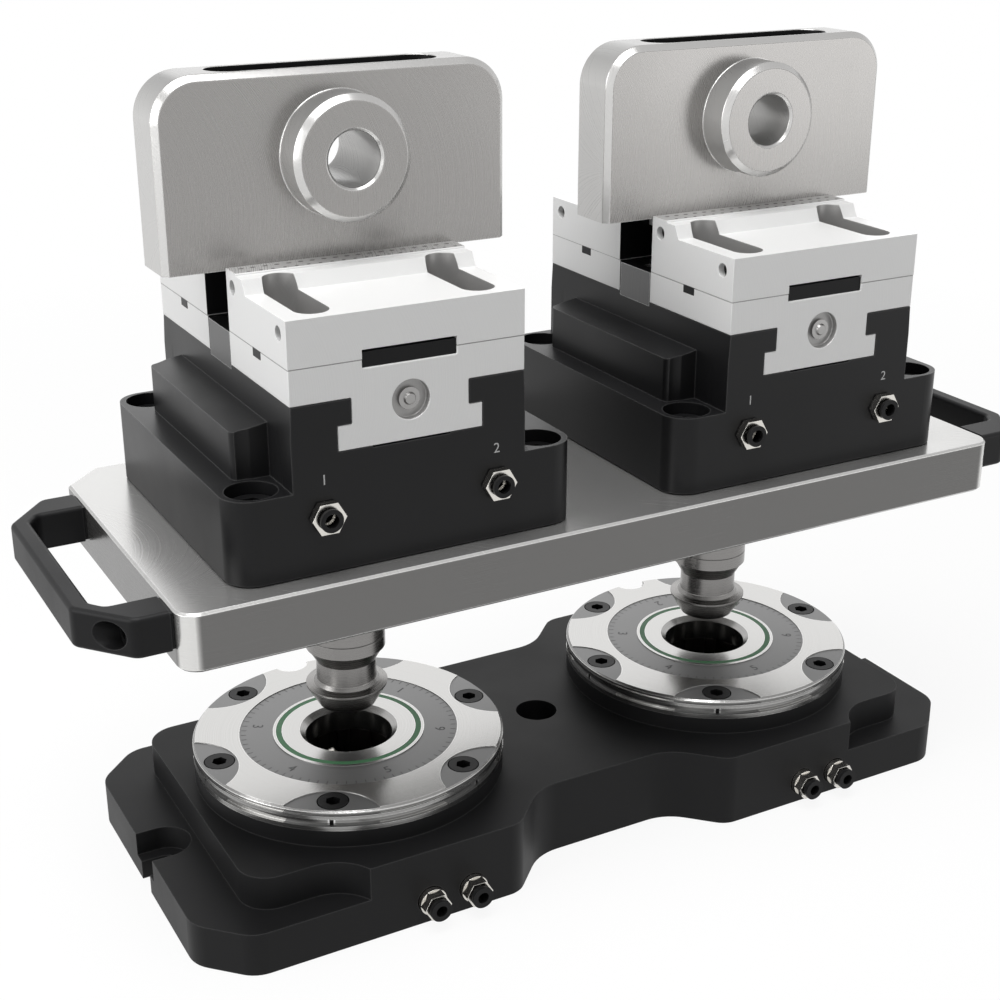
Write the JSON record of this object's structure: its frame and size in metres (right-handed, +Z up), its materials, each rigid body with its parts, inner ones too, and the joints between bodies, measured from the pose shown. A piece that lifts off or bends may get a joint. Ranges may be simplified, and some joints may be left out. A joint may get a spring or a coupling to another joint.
{
  "type": "zero point clamping plate",
  "caption": "Zero point clamping plate with ball-lock receivers, and a lifted pallet on pull studs that carries pneumatic self-centring vises and sample workpieces.",
  "frame": {"origin": "centre of the base plate's underside, on the axis of its centre hole", "axes": "+X along the plate, +Z up, air fittings on the -Y side"},
  "size_m": [0.4672, 0.179, 0.352],
  "materials": {
    "base_plate": "black hard-anodised, satin",
    "module_housing_left": "ground and milled",
    "ball_cages": "dark hardened",
    "module_screws": "black oxide",
    "module_seals": "green elastomer",
    "base_fittings": "nickel plated",
    "handle_left": "black coated, satin",
    "vise_body_left": "black case-hardened steel, satin",
    "vise_centre_covers": "ground",
    "workpiece_left": "milled",
    "vise_release_ring_left_1": "black moulded"
  },
  "bodies": {
    "base": {"base_plate": "base_plate", "module_housing_left": "module_housing_left", "module_housing_right": "module_housing_left", "ball_cages": "ball_cages", "module_screws": "module_screws", "module_seals": "module_seals", "base_fittings": "base_fittings", "spring_pack_left": "module_housing_left", "spring_pack_right": "module_housing_left"},
    "pallet": {"pallet_plate": "module_housing_left", "stud_screws": "module_screws", "handle_left": "handle_left", "handle_right": "handle_left", "handle_screws": "module_screws", "vise_body_left": "vise_body_left", "vise_body_right": "vise_body_left", "vise_mount_screws": "module_screws", "vise_fittings": "base_fittings", "vise_centre_covers": "vise_centre_covers", "vise_cylinder_covers": "module_housing_left"},
    "stud_left": {"pull_stud_left": "module_housing_left"},
    "lock_left": {"clamping_piston_left": "module_housing_left"},
    "ball_left_1": {"locking_ball_left_1": "module_housing_left"},
    "ball_left_2": {"locking_ball_left_2": "module_housing_left"},
    "ball_left_3": {"locking_ball_left_3": "module_housing_left"},
    "ball_left_4": {"locking_ball_left_4": "module_housing_left"},
    "ball_left_5": {"locking_ball_left_5": "module_housing_left"},
    "ball_left_6": {"locking_ball_left_6": "module_housing_left"},
    "jaw_left_front": {"base_jaw_left_front": "module_housing_left", "top_jaw_left_front": "module_housing_left", "jaw_fixings_left_front": "module_screws"},
    "jaw_left_rear": {"base_jaw_left_rear": "module_housing_left", "top_jaw_left_rear": "module_housing_left", "jaw_fixings_left_rear": "module_screws"},
    "drive_left": {"vise_piston_left": "module_housing_left"},
    "work_left": {"workpiece_left": "workpiece_left"},
    "vise_ring_left_1": {"vise_release_ring_left_1": "vise_release_ring_left_1"},
    "vise_ring_left_2": {"vise_release_ring_left_2": "vise_release_ring_left_1"},
    "stud_right": {"pull_stud_right": "module_housing_left"},
    "lock_right": {"clamping_piston_right": "module_housing_left"},
    "ball_right_1": {"locking_ball_right_1": "module_housing_left"},
    "ball_right_2": {"locking_ball_right_2": "module_housing_left"},
    "ball_right_3": {"locking_ball_right_3": "module_housing_left"},
    "ball_right_4": {"locking_ball_right_4": "module_housing_left"},
    "ball_right_5": {"locking_ball_right_5": "module_housing_left"},
    "ball_right_6": {"locking_ball_right_6": "module_housing_left"},
    "jaw_right_front": {"base_jaw_right_front": "module_housing_left", "top_jaw_right_front": "module_housing_left", "jaw_fixings_right_front": "module_screws"},
    "jaw_right_rear": {"base_jaw_right_rear": "module_housing_left", "top_jaw_right_rear": "module_housing_left", "jaw_fixings_right_rear": "module_screws"},
    "drive_right": {"vise_piston_right": "module_housing_left"},
    "work_right": {"workpiece_right": "workpiece_left"},
    "vise_ring_right_1": {"vise_release_ring_right_1": "vise_release_ring_left_1"},
    "vise_ring_right_2": {"vise_release_ring_right_2": "vise_release_ring_left_1"},
    "base_ring_1": {"base_release_ring_1": "vise_release_ring_left_1"},
    "base_ring_2": {"base_release_ring_2": "vise_release_ring_left_1"},
    "base_ring_3": {"base_release_ring_3": "vise_release_ring_left_1"},
    "base_ring_4": {"base_release_ring_4": "vise_release_ring_left_1"}
  },
  "joints": [
    {"name": "dock", "type": "slide", "parent": "base", "child": "pallet", "axis": [0, 0, 1], "range_m": [-0.0906, 0.02]},
    {"name": "stud_left_seat", "type": "slide", "parent": "pallet", "child": "stud_left", "axis": [0, 0, 1], "range_m": [-0.0079, 0.0349]},
    {"name": "lock_left", "type": "slide", "parent": "base", "child": "lock_left", "axis": [0, 0, 1], "range_m": [-0.006, 0], "deforming": ["spring_pack_left"]},
    {"name": "ball_left_1", "type": "slide", "parent": "base", "child": "ball_left_1", "axis": [0.866, 0.5, 0], "range_m": [-0.006, 0]},
    {"name": "ball_left_2", "type": "slide", "parent": "base", "child": "ball_left_2", "axis": [0, 1, 0], "range_m": [-0.006, 0]},
    {"name": "ball_left_3", "type": "slide", "parent": "base", "child": "ball_left_3", "axis": [-0.866, 0.5, 0], "range_m": [-0.006, 0]},
    {"name": "ball_left_4", "type": "slide", "parent": "base", "child": "ball_left_4", "axis": [-0.866, -0.5, 0], "range_m": [-0.006, 0]},
    {"name": "ball_left_5", "type": "slide", "parent": "base", "child": "ball_left_5", "axis": [0, -1, 0], "range_m": [-0.006, 0]},
    {"name": "ball_left_6", "type": "slide", "parent": "base", "child": "ball_left_6", "axis": [0.866, -0.5, 0], "range_m": [-0.006, 0]},
    {"name": "jaw_left_front", "type": "slide", "parent": "pallet", "child": "jaw_left_front", "axis": [0, -1, 0], "range_m": [0, 0.004]},
    {"name": "jaw_left_rear", "type": "slide", "parent": "pallet", "child": "jaw_left_rear", "axis": [0, 1, 0], "range_m": [0, 0.004]},
    {"name": "drive_left", "type": "slide", "parent": "pallet", "child": "drive_left", "axis": [0, 0, 1], "range_m": [0, 0.008]},
    {"name": "work_left_lift", "type": "slide", "parent": "pallet", "child": "work_left", "axis": [0, 0, 1], "range_m": [0, 0.08]},
    {"name": "vise_ring_left_1", "type": "slide", "parent": "pallet", "child": "vise_ring_left_1", "axis": [0, 1, 0], "range_m": [0, 0.001], "stiffness_N_per_m": 1500, "springref_m": -0.0005},
    {"name": "vise_ring_left_2", "type": "slide", "parent": "pallet", "child": "vise_ring_left_2", "axis": [0, 1, 0], "range_m": [0, 0.001], "stiffness_N_per_m": 1500, "springref_m": -0.0005},
    {"name": "stud_right_seat", "type": "slide", "parent": "pallet", "child": "stud_right", "axis": [0, 0, 1], "range_m": [-0.0079, 0.0349]},
    {"name": "lock_right", "type": "slide", "parent": "base", "child": "lock_right", "axis": [0, 0, 1], "range_m": [-0.006, 0], "deforming": ["spring_pack_right"]},
    {"name": "ball_right_1", "type": "slide", "parent": "base", "child": "ball_right_1", "axis": [0.866, 0.5, 0], "range_m": [-0.006, 0]},
    {"name": "ball_right_2", "type": "slide", "parent": "base", "child": "ball_right_2", "axis": [0, 1, 0], "range_m": [-0.006, 0]},
    {"name": "ball_right_3", "type": "slide", "parent": "base", "child": "ball_right_3", "axis": [-0.866, 0.5, 0], "range_m": [-0.006, 0]},
    {"name": "ball_right_4", "type": "slide", "parent": "base", "child": "ball_right_4", "axis": [-0.866, -0.5, 0], "range_m": [-0.006, 0]},
    {"name": "ball_right_5", "type": "slide", "parent": "base", "child": "ball_right_5", "axis": [0, -1, 0], "range_m": [-0.006, 0]},
    {"name": "ball_right_6", "type": "slide", "parent": "base", "child": "ball_right_6", "axis": [0.866, -0.5, 0], "range_m": [-0.006, 0]},
    {"name": "jaw_right_front", "type": "slide", "parent": "pallet", "child": "jaw_right_front", "axis": [0, -1, 0], "range_m": [0, 0.004]},
    {"name": "jaw_right_rear", "type": "slide", "parent": "pallet", "child": "jaw_right_rear", "axis": [0, 1, 0], "range_m": [0, 0.004]},
    {"name": "drive_right", "type": "slide", "parent": "pallet", "child": "drive_right", "axis": [0, 0, 1], "range_m": [0, 0.008]},
    {"name": "work_right_lift", "type": "slide", "parent": "pallet", "child": "work_right", "axis": [0, 0, 1], "range_m": [0, 0.08]},
    {"name": "vise_ring_right_1", "type": "slide", "parent": "pallet", "child": "vise_ring_right_1", "axis": [0, 1, 0], "range_m": [0, 0.001], "stiffness_N_per_m": 1500, "springref_m": -0.0005},
    {"name": "vise_ring_right_2", "type": "slide", "parent": "pallet", "child": "vise_ring_right_2", "axis": [0, 1, 0], "range_m": [0, 0.001], "stiffness_N_per_m": 1500, "springref_m": -0.0005},
    {"name": "base_ring_1", "type": "slide", "parent": "base", "child": "base_ring_1", "axis": [0, 1, 0], "range_m": [0, 0.001], "stiffness_N_per_m": 1500, "springref_m": -0.0005},
    {"name": "base_ring_2", "type": "slide", "parent": "base", "child": "base_ring_2", "axis": [0, 1, 0], "range_m": [0, 0.001], "stiffness_N_per_m": 1500, "springref_m": -0.0005},
    {"name": "base_ring_3", "type": "slide", "parent": "base", "child": "base_ring_3", "axis": [0, 1, 0], "range_m": [0, 0.001], "stiffness_N_per_m": 1500, "springref_m": -0.0005},
    {"name": "base_ring_4", "type": "slide", "parent": "base", "child": "base_ring_4", "axis": [0, 1, 0], "range_m": [0, 0.001], "stiffness_N_per_m": 1500, "springref_m": -0.0005}
  ],
  "couplings": [
    {"joint": "stud_left_seat", "follows": "dock", "ratio": -0.38411},
    {"joint": "ball_left_1", "follows": "lock_left", "ratio": 1},
    {"joint": "ball_left_2", "follows": "lock_left", "ratio": 1},
    {"joint": "ball_left_3", "follows": "lock_left", "ratio": 1},
    {"joint": "ball_left_4", "follows": "lock_left", "ratio": 1},
    {"joint": "ball_left_5", "follows": "lock_left", "ratio": 1},
    {"joint": "ball_left_6", "follows": "lock_left", "ratio": 1},
    {"joint": "jaw_left_rear", "follows": "jaw_left_front", "ratio": 1},
    {"joint": "drive_left", "follows": "jaw_left_front", "ratio": 2},
    {"joint": "stud_right_seat", "follows": "dock", "ratio": -0.38411},
    {"joint": "ball_right_1", "follows": "lock_right", "ratio": 1},
    {"joint": "ball_right_2", "follows": "lock_right", "ratio": 1},
    {"joint": "ball_right_3", "follows": "lock_right", "ratio": 1},
    {"joint": "ball_right_4", "follows": "lock_right", "ratio": 1},
    {"joint": "ball_right_5", "follows": "lock_right", "ratio": 1},
    {"joint": "ball_right_6", "follows": "lock_right", "ratio": 1},
    {"joint": "jaw_right_rear", "follows": "jaw_right_front", "ratio": 1},
    {"joint": "drive_right", "follows": "jaw_right_front", "ratio": 2}
  ]
}
